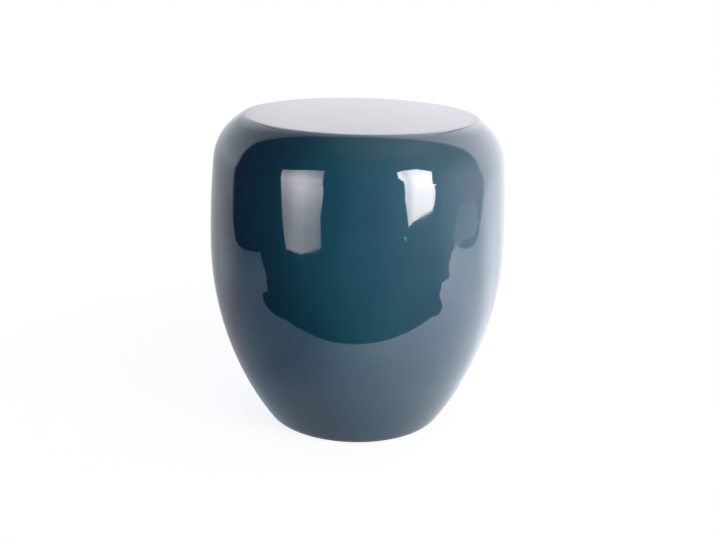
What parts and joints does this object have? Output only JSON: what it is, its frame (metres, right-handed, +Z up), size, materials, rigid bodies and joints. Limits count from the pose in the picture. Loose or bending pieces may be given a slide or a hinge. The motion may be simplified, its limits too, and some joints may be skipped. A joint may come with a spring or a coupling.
{
  "type": "ceramic drum stool",
  "caption": "Glazed ceramic drum stool with a flat round seat, a rounded shoulder, a swelling hollow body and a narrower recessed foot on felt pads.",
  "frame": {"origin": "on the floor, under the middle of the stool", "axes": "+Z up along the stool's axis of turning, X and Y level and alike"},
  "size_m": [0.3999, 0.4, 0.42],
  "materials": {
    "clay": "unglazed fired stoneware, matt, with fine speckle",
    "glaze": "glossy petrol blue glaze",
    "felt": "dense dark grey felt"
  },
  "bodies": {
    "root": {"seat_slab": "clay", "body_wall": "clay", "base_slab": "clay", "glaze_coat": "glaze", "felt_pad_1": "felt", "felt_pad_2": "felt", "felt_pad_3": "felt", "felt_pad_4": "felt"}
  },
  "joints": []
}
